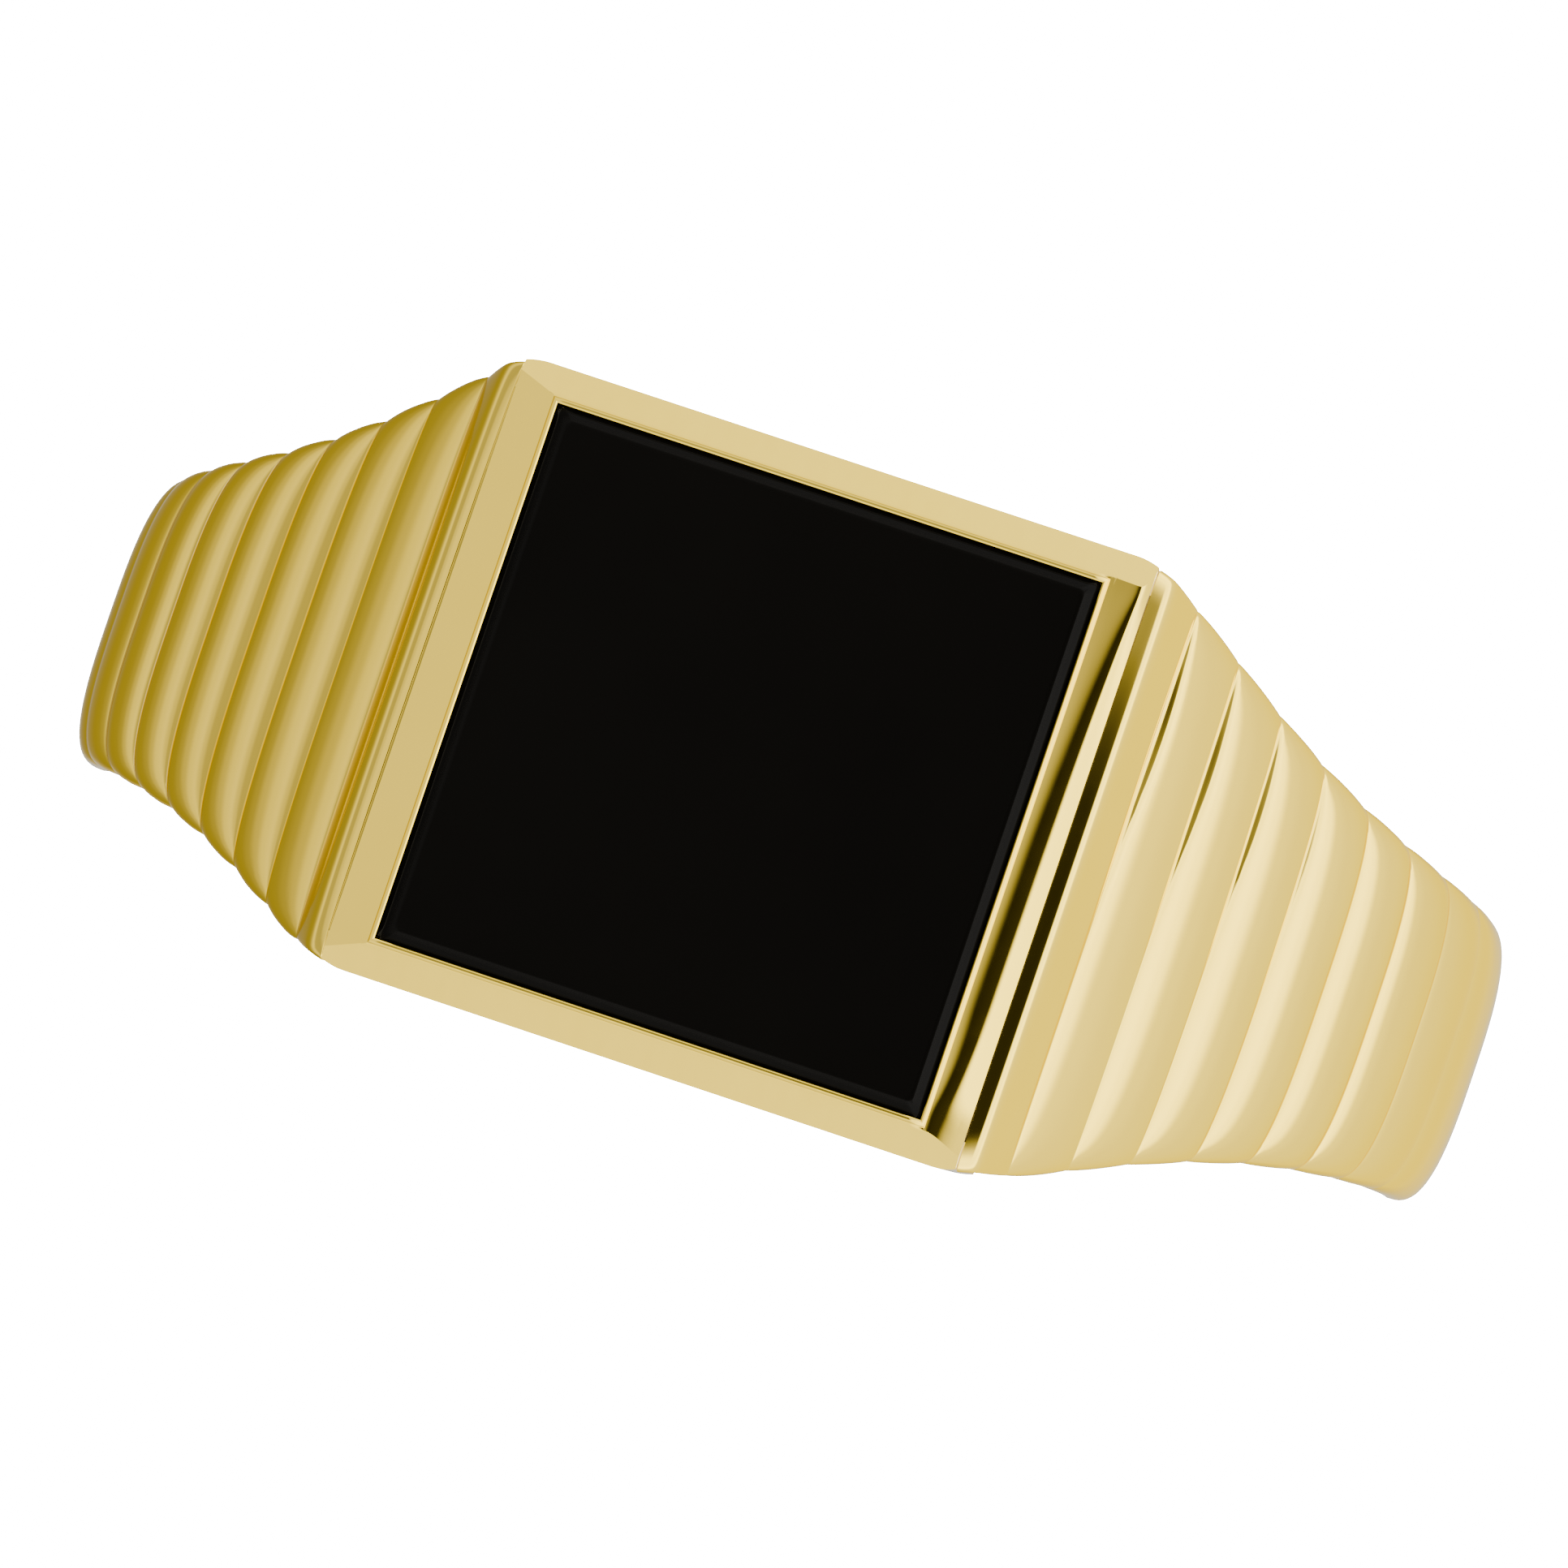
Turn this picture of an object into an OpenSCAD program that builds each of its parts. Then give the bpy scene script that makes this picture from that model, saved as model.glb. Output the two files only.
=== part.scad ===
// Signet ring with ribbed shoulders and a flat black stone, in millimetres.
// The finger hole runs along Y and its centre is the origin; the stone faces +Z.
// The hoop, the head frame and the bearer are gold, joined by two thin films of solder.

/* [Finger hole] */

// Inside diameter of the hoop, across the finger
bore_d = 19.8; // [16:0.1:23]

/* [Head] */

// Length of the head across the finger, between the two creases
head_l = 10.7; // [8.6:0.05:12]

// Width of the head along the finger
head_w = 10.26; // [8.2:0.05:12]

// Height of the stone's face above the finger hole
head_rise = 2.7; // [2.4:0.05:3.6]

// Gold margin between the stone and each crease
end_margin = 0.74; // [0.5:0.01:1]

// Gold bevel between the stone and each long side of the head
side_margin = 0.59; // [0.4:0.01:0.8]

/* [Stone] */

// Thickness of the stone tablet
stone_t = 1.4; // [1:0.05:1.5]

// Width of the small bevel round the stone's face
stone_bevel = 0.22; // [0.1:0.01:0.35]

// Slack between the stone's edge and the wall of its pocket
stone_slack = 0.03; // [0.02:0.005:0.08]

/* [Shoulders] */

// Number of grooves cut across each shoulder
groove_count = 8; // [4:1:10]

// Height of each rib above the grooves beside it
rib_h = 0.11; // [0.05:0.01:0.3]

// Width of the band at the sides of the finger
side_w = 4.7; // [3.6:0.1:6]

/* [Hoop] */

// Thickness of the band at the sides of the finger
side_wall = 2.05; // [1.4:0.01:2.4]

// Thickness of the band at the bottom
bottom_wall = 1.6; // [1.2:0.05:2.2]

// Width of the band at the bottom
bottom_w = 3; // [2.4:0.1:5.5]

/* [Joints] */

// Thickness of each film of solder
solder_t = 0.05; // [0.03:0.005:0.1]

// Thickness of the bed of cement under the stone
cement_t = 0.06; // [0.04:0.005:0.1]

// Thickness of the bearer that carries the stone
bearer_t = 0.4; // [0.3:0.05:0.5]

// Width of the ledge that the bearer rests on
ledge_w = 0.7; // [0.4:0.05:1]

/* [Hidden] */

// Segments in a full circle
$fn = 96;

// A cut reaches this far past the surface it starts from
over = 1;

// Finger hole and the heights measured up from it
bore_r = bore_d / 2;
face_z = bore_r + head_rise;

// The gold lip stands this far below the stone's face, the crease lower still
lip_drop = 0.1;
lip_z = face_z - lip_drop;
crease_fall = 0.3;
crease_z = face_z - crease_fall;
crease_x = head_l / 2;

// Long sides of the head: bevel, then a wall that leans in toward the finger
bevel_fall = 0.5;
bevel_z = face_z - bevel_fall;
wall_lean = 0.35;

// Rounding of the head's corners in plan, which runs on into the shoulders
corner_r = 1.1;
corner_start = 0.4;

// The stone and its pocket
pocket_l = head_l - 2 * end_margin;
pocket_w = head_w - 2 * side_margin;
stone_l = pocket_l - 2 * stone_slack;
stone_w = pocket_w - 2 * stone_slack;
stone_bevel_fall = 0.6 * stone_bevel;
stone_base = face_z - stone_t;
bearer_top = stone_base - cement_t;
bearer_base = bearer_top - bearer_t;

// Solder fills the joint between the end of the head and the end of the hoop
joint_in = crease_x - solder_t / 2;
joint_out = crease_x + solder_t / 2;

// Shoulder profile: a curve from the crease down to the side of the finger
side_x = bore_r + side_wall;
side_z = -0.03 * bore_r;
leave_angle = 69;
leave_reach = 3.2 / 9.9 * bore_r;
arrive_reach = 5 / 9.9 * bore_r;
curve_start = [joint_out, crease_z - solder_t / 2 * tan(leave_angle)];
curve_out = curve_start + leave_reach * [cos(leave_angle), -sin(leave_angle)];
curve_end = [side_x, side_z];
curve_in = curve_end + [0, arrive_reach];
bottom_z = -(bore_r + bottom_wall);

// Ribs share out most of the shoulder; the last of them fade into the plain band
ribbed_share = 0.945;
fade_ribs = 3;
rib_edge_share = 0.4;

// Between the crease and the first groove the shoulder is a rounded step instead of a rib
step_drop = 0.9;
step_turn = 0.44;
step_round = 0.06;
function step_line(p) = p - step_turn + norm([p - step_turn, step_round]);
function step_fall(p) = (step_line(p) - step_line(0)) / (step_line(1) - step_line(0));

// Cross-section of the band: crowned outside, with rounded edges
edge_power = 3;
edge_depth_end = 0.45;
edge_depth = 0.7;
edge_run = 3;
taper_run = 6.3;
taper_power = 1.55;
inner_lean = 0.45;
inner_depth = 0.9;

// How finely the swept band is laid out
curve_steps = 60;
rib_steps = 6;
plain_steps = 14;
across_steps = 12;

// Point on the shoulder curve at share t of its span
function on_curve(t) =
    pow(1 - t, 3) * curve_start
    + 3 * pow(1 - t, 2) * t * curve_out
    + 3 * (1 - t) * t * t * curve_in
    + pow(t, 3) * curve_end;

// Running length along the shoulder curve, as pairs of length and share
function lengths(i = 0, done = 0) =
    i == curve_steps
        ? [[done, 1]]
        : concat(
            [[done, i / curve_steps]],
            lengths(i + 1, done + norm(on_curve((i + 1) / curve_steps) - on_curve(i / curve_steps)))
        );
length_table = lengths();
shoulder_len = length_table[curve_steps][0];
rib_pitch = shoulder_len * ribbed_share / (groove_count + 1);
ribbed_len = rib_pitch * (groove_count + 1);

// Lower half of the hoop: a quarter of an oval from the side to the bottom
lower_drop = side_z - bottom_z;
lower_len = PI / 2 * sqrt((side_x * side_x + lower_drop * lower_drop) / 2);
half_len = shoulder_len + lower_len;
function on_lower(t) = [side_x * cos(90 * t), side_z - lower_drop * sin(90 * t)];

// Outer line of the grooves at running length s from the crease
function groove_line(s) =
    s < shoulder_len
        ? on_curve(lookup(s, length_table))
        : on_lower((s - shoulder_len) / lower_len);

// Half width of the band at running length s
function half_width(s) =
    let (low = min(1, max(0, (s - shoulder_len) / lower_len)))
    side_w / 2 + (head_end_w - side_w / 2) * exp(-pow(s / taper_run, taper_power))
    - (side_w - bottom_w) / 2 * sin(90 * low);
head_end_w = head_w / 2 - corner_r + sqrt(corner_r * corner_r - corner_start * corner_start);

// Height of the ribs at running length s
function rib_rise(s) =
    let (
        at = s / rib_pitch,
        part = at - floor(at),
        fade = min(1, (groove_count + 1 - at) / fade_ribs)
    )
    s > ribbed_len ? 0
        : at < 1 ? rib_pitch * step_drop * (at - step_fall(at))
        : rib_h * fade * (1 - pow(2 * part - 1, 2));

// Angle round the finger of the inner edge of each section, which turns to a plain radius
inner_r = bore_r - inner_depth;
end_turn = atan2(curve_start[1], curve_start[0]) - acos(joint_out / inner_r);
function inner_point(s) =
    let (
        p = groove_line(s),
        left = max(0, 1 - s / shoulder_len),
        a = atan2(p[1], p[0]) - end_turn * left * left
    )
    s == 0 ? [joint_out, inner_r * sin(acos(joint_out / inner_r))] : inner_r * [cos(a), sin(a)];

// Signed power, which squares off a circle
function bent(v, k) = sign(v) * pow(abs(v), k);

// One cross-section of the band: across the outside, then the two inner corners
function section(s, side) =
    let (
        p = groove_line(s),
        q = inner_point(s),
        down = (q - p) / norm(q - p),
        w = half_width(s),
        deep = edge_depth + (edge_depth_end - edge_depth) * exp(-s / edge_run),
        rise = rib_rise(s),
        in_step = s < rib_pitch
    )
    concat(
        [
            for (i = [0 : across_steps])
                let (
                    a = -90 + 180 * i / across_steps,
                    y = w * bent(sin(a), 2 / edge_power),
                    d = deep * (1 - bent(cos(a), 2 / edge_power)),
                    ny = bent(sin(a), 2 - 2 / edge_power) / w,
                    nd = bent(cos(a), 2 - 2 / edge_power) / deep,
                    nn = norm([ny, nd]),
                    out = in_step ? [0, 1] : [rib_edge_share * ny / nn, nd / nn],
                    c = p + down * (d - rise * out[1])
                )
                [side * c[0], y + rise * out[0], c[1]]
        ],
        [
            [side * q[0], w - inner_lean, q[1]],
            [side * q[0], inner_lean - w, q[1]]
        ]
    );

// Running lengths of the sections, from the crease to the bottom
rib_stations = [for (i = [0 : rib_steps * (groove_count + 1) - 1]) i * rib_pitch / rib_steps];
plain_stations = [
    for (i = [0 : plain_steps]) ribbed_len + (half_len - ribbed_len) * i / plain_steps
];
stations = concat(rib_stations, plain_stations);
last = len(stations) - 1;

// Both halves of the hoop in one run, from the right crease to the left one
rows = concat(
    [for (i = [0 : last]) section(stations[i], 1)],
    [for (i = [1 : last]) section(stations[last - i], -1)]
);
row_len = across_steps + 3;
row_count = len(rows);

// A straight block centred on X and Y, from one height up to another
module block(l, w, z0, z1) {
    translate([-l / 2, -w / 2, z0])
        cube([l, w, z1 - z0]);
}

// The finger hole, as a cutter
module finger_hole() {
    rotate([90, 0, 0])
        cylinder(r = bore_r, h = head_w + 2 * over, center = true);
}

// A block that ends in a small bevel round the stone's face
module bevelled(l, w, z0) {
    hull() {
        block(l, w, z0, face_z - stone_bevel_fall);
        block(l - 2 * stone_bevel, w - 2 * stone_bevel, z0, face_z);
    }
}

// Outline of the head across the finger
module head_across() {
    rotate([90, 0, 0])
        linear_extrude(height = head_w + over, center = true)
            polygon([
                [-joint_in, 0], [joint_in, 0], [joint_in, crease_z],
                [pocket_l / 2, lip_z], [-pocket_l / 2, lip_z], [-joint_in, crease_z]
            ]);
}

// Outline of the head along the finger
module head_along() {
    rotate([90, 0, 90])
        linear_extrude(height = head_l + over, center = true)
            polygon([
                [wall_lean - head_w / 2, bore_r - head_rise], [head_w / 2 - wall_lean, bore_r - head_rise],
                [head_w / 2, bevel_z], [pocket_w / 2, lip_z],
                [-pocket_w / 2, lip_z], [-head_w / 2, bevel_z]
            ]);
}

// Outline of the head seen from above, with its rounded corners
module head_plan() {
    linear_extrude(height = face_z)
        hull()
            for (x = [-1, 1], y = [-1, 1])
                translate([x * (crease_x - corner_start), y * (head_w / 2 - corner_r)])
                    circle(r = corner_r);
}

// Hoop with its two ribbed shoulders
module shank() {
    color([0.85, 0.72, 0.36])
        difference() {
            polyhedron(
                points = [for (r = rows) each r],
                faces = concat(
                    [[for (i = [0 : row_len - 1]) row_len - 1 - i]],
                    [[for (i = [0 : row_len - 1]) (row_count - 1) * row_len + i]],
                    [
                        for (r = [0 : row_count - 2], i = [0 : row_len - 1], h = [0, 1])
                            let (
                                a = r * row_len + i,
                                b = r * row_len + (i + 1) % row_len,
                                c = b + row_len,
                                d = a + row_len
                            )
                            h == 0 ? [a, b, d] : [b, c, d]
                    ]
                )
            );
            finger_hole();
        }
}

// Head frame: rim, walls and ledge, with a pocket for the stone
module head_frame() {
    color([0.85, 0.72, 0.36])
        difference() {
            intersection() {
                head_across();
                head_along();
                head_plan();
            }
            block(pocket_l, pocket_w, bearer_base, face_z + over);
            block(pocket_l - 2 * ledge_w, pocket_w - 2 * ledge_w, 0, face_z);
            finger_hole();
        }
}

// Bearer: the thin plate that closes the pocket under the stone
module bearer_plate() {
    color([0.8, 0.68, 0.36])
        block(pocket_l, pocket_w, bearer_base, bearer_top);
}

// Flat stone with a small bevel round its face
module stone_tablet() {
    color([0.03, 0.03, 0.03])
        bevelled(stone_l, stone_w, stone_base);
}

// Bed of cement between the bearer and the stone
module cement_bed() {
    color([0.55, 0.5, 0.4])
        block(stone_l, stone_w, bearer_top, stone_base);
}

// Film of solder between one end of the head and the hoop
module solder(side) {
    color([0.88, 0.78, 0.48])
        difference() {
            translate([side * crease_x, 0, 0])
                rotate([90, 0, 90])
                    linear_extrude(height = solder_t, center = true)
                        polygon([for (p = section(0, 1)) [p[1], min(p[2], curve_start[1])]]);
            finger_hole();
        }
}

module left_solder() {
    solder(-1);
}

module right_solder() {
    solder(1);
}

shank();
head_frame();
bearer_plate();
stone_tablet();
cement_bed();
left_solder();
right_solder();
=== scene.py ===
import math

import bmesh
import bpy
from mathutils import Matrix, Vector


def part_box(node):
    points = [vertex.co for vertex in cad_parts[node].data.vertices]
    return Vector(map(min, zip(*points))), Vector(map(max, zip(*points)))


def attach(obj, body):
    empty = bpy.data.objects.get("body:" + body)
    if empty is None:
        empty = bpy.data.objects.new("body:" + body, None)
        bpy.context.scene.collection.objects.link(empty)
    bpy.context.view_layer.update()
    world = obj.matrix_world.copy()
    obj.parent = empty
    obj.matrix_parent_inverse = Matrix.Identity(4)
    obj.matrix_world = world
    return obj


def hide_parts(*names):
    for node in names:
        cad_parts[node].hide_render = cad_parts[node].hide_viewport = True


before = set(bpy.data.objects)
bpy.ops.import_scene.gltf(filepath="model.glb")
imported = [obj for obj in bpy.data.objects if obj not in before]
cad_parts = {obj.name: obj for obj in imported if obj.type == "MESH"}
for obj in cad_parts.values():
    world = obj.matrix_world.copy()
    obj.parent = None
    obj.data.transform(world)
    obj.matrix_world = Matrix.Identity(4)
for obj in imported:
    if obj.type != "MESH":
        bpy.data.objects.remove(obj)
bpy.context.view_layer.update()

# %% [markdown]
# # A signet ring with ribbed shoulders
#
# The real ring is a gold hoop whose shoulders are cut with cross grooves, a gold
# head frame soldered between them, and a flat black stone cemented into the head.
# The exact parts have just been loaded as a fixed frame. This lesson dresses them:
# the hoop, the head and the stone get finer shapes of the same size, and the small
# joining pieces keep their exact shape and get a finish.
#
# The first cell notes the exact size.

# %% [markdown]
# ## Sizes
#
# A goldsmith works in millimetres and Blender in metres, so sizes are written in
# millimetres and turned into metres as late as possible. Sizes that the exact parts
# already hold are read from them. The others are the maker's own, such as how far
# the rim falls or how high a rib stands. Most of them are the exact parts' sizes, and
# a few small ones, such as the lip round the stone, belong to the dressed ring only.

# %% Read the sizes that the exact parts hold
MM = 0.001


def box_mm(node):
    low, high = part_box(node)
    return low / MM, high / MM


stone_low, stone_high = box_mm("stone_tablet")
shank_low, shank_high = box_mm("shank")

hole_radius = 9.9
face_z = stone_high.z
joint_in = box_mm("right_solder")[0].x
head_half = box_mm("head_frame")[1].y
print(f"stone face at {face_z:.2f}, head half width {head_half:.2f}, joints at {joint_in:.3f}")

# %% Write down the maker's own sizes
# How far below the stone's face the rim starts, and where it ends at the head's two
# ends and along its two long sides.
lip_drop = 0.10
crease_fall = 0.30
bevel_fall = 0.50
wall_lean = 0.35
ledge = 0.7
corner_radius = 1.1
corner_start = 0.4
stone_slack = 0.03
crease_z = face_z - crease_fall
pocket_x = stone_high.x + stone_slack
pocket_y = stone_high.y + stone_slack
end_half = head_half - corner_radius + math.sqrt(corner_radius**2 - corner_start**2)
print(f"pocket {2 * pocket_x:.2f} by {2 * pocket_y:.2f}, band starts {2 * end_half:.2f} wide")

# %% [markdown]
# ## Writing sums inside a node tree
#
# The hoop follows a rule, so Geometry Nodes make it. A rule is a formula, and a
# formula in nodes is a crowd of Math nodes that is hard to read. This small helper
# lets a formula be written as ordinary arithmetic. Each plus or times sign adds one
# Math node to the tree.

# %% A helper that turns arithmetic into Math nodes


class Sum:
    """One number flowing through a node tree."""

    def __init__(self, tree, socket):
        self.tree, self.socket = tree, socket

    def do(self, operation, *others):
        node = self.tree.nodes.new("ShaderNodeMath")
        node.operation = operation
        for place, value in enumerate((self, *others)):
            if isinstance(value, Sum):
                self.tree.links.new(value.socket, node.inputs[place])
            else:
                node.inputs[place].default_value = value
        return Sum(self.tree, node.outputs[0])

    def flipped(self, operation, other):
        node = self.tree.nodes.new("ShaderNodeMath")
        node.operation = operation
        node.inputs[0].default_value = other
        self.tree.links.new(self.socket, node.inputs[1])
        return Sum(self.tree, node.outputs[0])

    def __add__(self, other):
        return self.do("ADD", other)

    __radd__ = __add__

    def __mul__(self, other):
        return self.do("MULTIPLY", other)

    __rmul__ = __mul__

    def __sub__(self, other):
        return self.do("SUBTRACT", other)

    def __rsub__(self, other):
        return self.flipped("SUBTRACT", other)

    def __truediv__(self, other):
        return self.do("DIVIDE", other)

    def __pow__(self, other):
        return self.do("POWER", other)


def pick(test, yes, no):
    """yes where test is 1, no where it is 0."""
    return test * yes + (1 - test) * no


def bent(value, power):
    """A signed power, which squares off a circle."""
    return value.do("SIGN") * value.do("ABSOLUTE") ** power


print("arithmetic helper ready")

# %% [markdown]
# ## Gold
#
# Polished gold is a pure metal to Blender: its colour is all in the reflection. A
# real ring is never a perfect mirror. Polishing leaves faint draw lines and a haze
# that comes and goes, so colour, roughness and a very shallow bump vary over the
# surface. Three scales of noise are read from Object coordinates, which keeps the
# pattern fixed to the metal.

# %% A helper for node trees in materials


def new_finish(name):
    finish = bpy.data.materials.new(name)
    finish.use_nodes = True
    tree = finish.node_tree
    shader = tree.nodes["Principled BSDF"]
    place = tree.nodes.new("ShaderNodeTexCoord").outputs["Object"]
    return finish, tree, shader, place


def noise(tree, place, per_mm, stretch=(1, 1, 1), detail=3.0):
    """Noise whose features are about 1 / per_mm millimetres across."""
    turn = tree.nodes.new("ShaderNodeMapping")
    turn.inputs["Scale"].default_value = [axis * per_mm / MM for axis in stretch]
    tree.links.new(place, turn.inputs["Vector"])
    cloud = tree.nodes.new("ShaderNodeTexNoise")
    cloud.inputs["Scale"].default_value = 1.0
    cloud.inputs["Detail"].default_value = detail
    tree.links.new(turn.outputs[0], cloud.inputs["Vector"])
    return cloud.outputs["Fac"]


def spread(tree, amount, low, high):
    """Spread noise over a range of values."""
    node = tree.nodes.new("ShaderNodeMapRange")
    node.inputs["From Min"].default_value = 0.3
    node.inputs["From Max"].default_value = 0.7
    node.inputs["To Min"].default_value = low
    node.inputs["To Max"].default_value = high
    tree.links.new(amount, node.inputs["Value"])
    return node.outputs["Result"]


def two_tone(tree, amount, first, second):
    """Blend two colours; the first may come from another node."""
    node = tree.nodes.new("ShaderNodeMix")
    node.data_type = "RGBA"
    if isinstance(first, tuple):
        node.inputs["A"].default_value = (*first, 1)
    else:
        tree.links.new(first, node.inputs["A"])
    node.inputs["B"].default_value = (*second, 1)
    tree.links.new(amount, node.inputs["Factor"])
    return node.outputs["Result"]


def dimple(tree, shader, height, depth_mm):
    """A bump of the given depth."""
    node = tree.nodes.new("ShaderNodeBump")
    node.inputs["Distance"].default_value = depth_mm * MM
    node.inputs["Strength"].default_value = 1.0
    tree.links.new(height, node.inputs["Height"])
    tree.links.new(node.outputs["Normal"], shader.inputs["Normal"])


print("finish helpers ready")

# %% [markdown]
# The view transform pales strong colours, so the gold here is set deeper than gold
# itself. Where gold mirrors gold, that deep colour would be multiplied by itself and
# turn orange. A paler gold everywhere would cure that but lose the colour. A paler
# gold only where it is seen in other gold keeps both, and the Light Path node tells
# the two apart. The three finishes differ in roughness, depth of the lines and colour.

# %% Gold, polished outside and satin inside
YELLOW_LIGHT, YELLOW_DEEP = (0.98, 0.735, 0.15), (0.96, 0.71, 0.13)
SATIN_LIGHT, SATIN_DEEP = (0.86, 0.64, 0.20), (0.80, 0.58, 0.17)
SEEN_IN_GOLD = (0.98, 0.93, 0.78)
EDGE_TINT = (1.0, 0.86, 0.42, 1.0)
TONES_PER_MM, HAZE_PER_MM, LINES_PER_MM = 0.6, 2.5, 3.0


def gold(name, rough_low, rough_high, first, second, depth_mm):
    finish, tree, shader, place = new_finish(name)
    shader.inputs["Metallic"].default_value = 1.0
    shader.inputs["Specular Tint"].default_value = EDGE_TINT
    own_colour = two_tone(tree, noise(tree, place, TONES_PER_MM), first, second)
    seen_in_gold = tree.nodes.new("ShaderNodeLightPath").outputs["Is Glossy Ray"]
    colour = two_tone(tree, seen_in_gold, own_colour, SEEN_IN_GOLD)
    tree.links.new(colour, shader.inputs["Base Color"])
    haze = noise(tree, place, HAZE_PER_MM)
    tree.links.new(spread(tree, haze, rough_low, rough_high), shader.inputs["Roughness"])
    lines = noise(tree, place, LINES_PER_MM, stretch=(1.0, 0.06, 1.0), detail=0.5)
    dimple(tree, shader, lines, depth_mm)
    return finish


polished_gold = gold("polished_gold", 0.05, 0.09, YELLOW_LIGHT, YELLOW_DEEP, 0.0012)
satin_gold = gold("satin_gold", 0.28, 0.38, SATIN_LIGHT, SATIN_DEEP, 0.004)
solder_gold = gold("solder_gold", 0.12, 0.18, YELLOW_LIGHT, YELLOW_DEEP, 0.001)
print("gold finishes:", polished_gold.name, satin_gold.name, solder_gold.name)

# %% [markdown]
# ## The hoop and its ribs
#
# The hoop is one sweep. Its outer line starts at the crease beside the head, falls
# in a shallow S to the side of the finger and runs round below it. Ribs of equal
# length stand on that line. They could be cut one by one with a boolean, but a sweep
# keeps every groove sharp and every rib the same, and its sizes stay adjustable.
#
# The tree lays out a flat grid. One direction runs round the finger, the other goes
# round the band's cross-section. Each point is then moved to where the rule puts it.
#
# The hoop reaches over most of the solder film beside the head and leaves a hairline
# of it showing, a little below the edge of the head.

# %% Start the tree and name its sizes
HAIRLINE = 0.012
SET_BELOW_HEAD = 0.05
hoop_tree = bpy.data.node_groups.new("ribbed_hoop", "GeometryNodeTree")
hoop_sizes = [
    ("Hole Radius", hole_radius),
    ("Crease X", joint_in + HAIRLINE),
    ("Crease Z", crease_z - SET_BELOW_HEAD),
    ("Side Wall", shank_high.x - hole_radius),
    ("Bottom Wall", 1.6),
    ("Head End Half Width", end_half),
    ("Side Width", 4.7),
    ("Bottom Width", 3.0),
    ("Grooves", 8.0),
    ("Rib Height", 0.11),
    ("Groove Depth", 0.004),
]
for label, size in hoop_sizes:
    entry = hoop_tree.interface.new_socket(label, in_out="INPUT", socket_type="NodeSocketFloat")
    entry.default_value = size
hoop_tree.interface.new_socket("Finish", in_out="INPUT", socket_type="NodeSocketMaterial")
hoop_tree.interface.new_socket("Geometry", in_out="OUTPUT", socket_type="NodeSocketGeometry")
hoop_in = hoop_tree.nodes.new("NodeGroupInput")
hoop_out = hoop_tree.nodes.new("NodeGroupOutput")
size_of = {label: Sum(hoop_tree, hoop_in.outputs[label]) for label, size in hoop_sizes}
print(len(hoop_sizes), "sizes named")

# %% [markdown]
# The shoulder line is one Bezier curve. Sampling it by length, and not by its own
# parameter, is what keeps all the ribs equally long.

# %% The shoulder line as a curve
FALL_ANGLE = math.radians(69)
SIDE_DROP = 0.03
START_PULL = 3.2 / 9.9
SIDE_PULL = 5.0 / 9.9
CURVE_STEPS = 400


def joined(x, z, tree=hoop_tree):
    """A point in the ring's X and Z plane."""
    node = tree.nodes.new("ShaderNodeCombineXYZ")
    for place, value in ((0, x), (2, z)):
        if isinstance(value, Sum):
            tree.links.new(value.socket, node.inputs[place])
        else:
            node.inputs[place].default_value = value
    return node.outputs[0]


radius = size_of["Hole Radius"]
side_x = radius + size_of["Side Wall"]
side_z = radius * -SIDE_DROP
bottom_z = (radius + size_of["Bottom Wall"]) * -1
start_x, start_z = size_of["Crease X"], size_of["Crease Z"]
leave = radius * START_PULL
arrive = radius * SIDE_PULL
leave_x = start_x + leave * math.cos(FALL_ANGLE)
leave_z = start_z - leave * math.sin(FALL_ANGLE)

shoulder = hoop_tree.nodes.new("GeometryNodeCurvePrimitiveBezierSegment")
shoulder.mode = "POSITION"
shoulder.inputs["Resolution"].default_value = CURVE_STEPS
for label, point in (
    ("Start", joined(start_x, start_z)),
    ("Start Handle", joined(leave_x, leave_z)),
    ("End Handle", joined(side_x, side_z + arrive)),
    ("End", joined(side_x, side_z)),
):
    hoop_tree.links.new(point, shoulder.inputs[label])
measure = hoop_tree.nodes.new("GeometryNodeCurveLength")
hoop_tree.links.new(shoulder.outputs[0], measure.inputs[0])
shoulder_length = Sum(hoop_tree, measure.outputs[0])
print("shoulder line drawn")

# %% [markdown]
# The grid's long direction is shared between ribs and plain band. Rows crowd
# together near each groove, so the groove stays crisp with few faces. One extra row
# at each end folds into a point, which closes the hoop's two ends.

# %% The grid and its two counts
ROWS_PER_RIB = 22
PLAIN_ROWS = 90
ROUND_SECTION = 76
RIB_REGIONS = 9
half_rows = ROWS_PER_RIB * RIB_REGIONS + PLAIN_ROWS + 1

grid = hoop_tree.nodes.new("GeometryNodeMeshGrid")
grid.inputs["Size X"].default_value = 2.0
grid.inputs["Size Y"].default_value = 1.0
grid.inputs["Vertices X"].default_value = 2 * half_rows + 1
grid.inputs["Vertices Y"].default_value = ROUND_SECTION + 1
here = hoop_tree.nodes.new("ShaderNodeSeparateXYZ")
hoop_tree.links.new(hoop_tree.nodes.new("GeometryNodeInputPosition").outputs[0], here.inputs[0])
along = Sum(hoop_tree, here.outputs["X"])
around = (Sum(hoop_tree, here.outputs["Y"]) + 0.5) * (2 * math.pi)

side = pick(along.do("GREATER_THAN", 0.0), 1.0, along * 0 - 1)
row_from_bottom = (along.do("ABSOLUTE") * half_rows).do("ROUND")
row = half_rows - row_from_bottom - 1
is_end = row.do("LESS_THAN", -0.5)
row = row.do("MAXIMUM", 0.0)
print("grid of", 2 * half_rows + 1, "by", ROUND_SECTION + 1)

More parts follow.
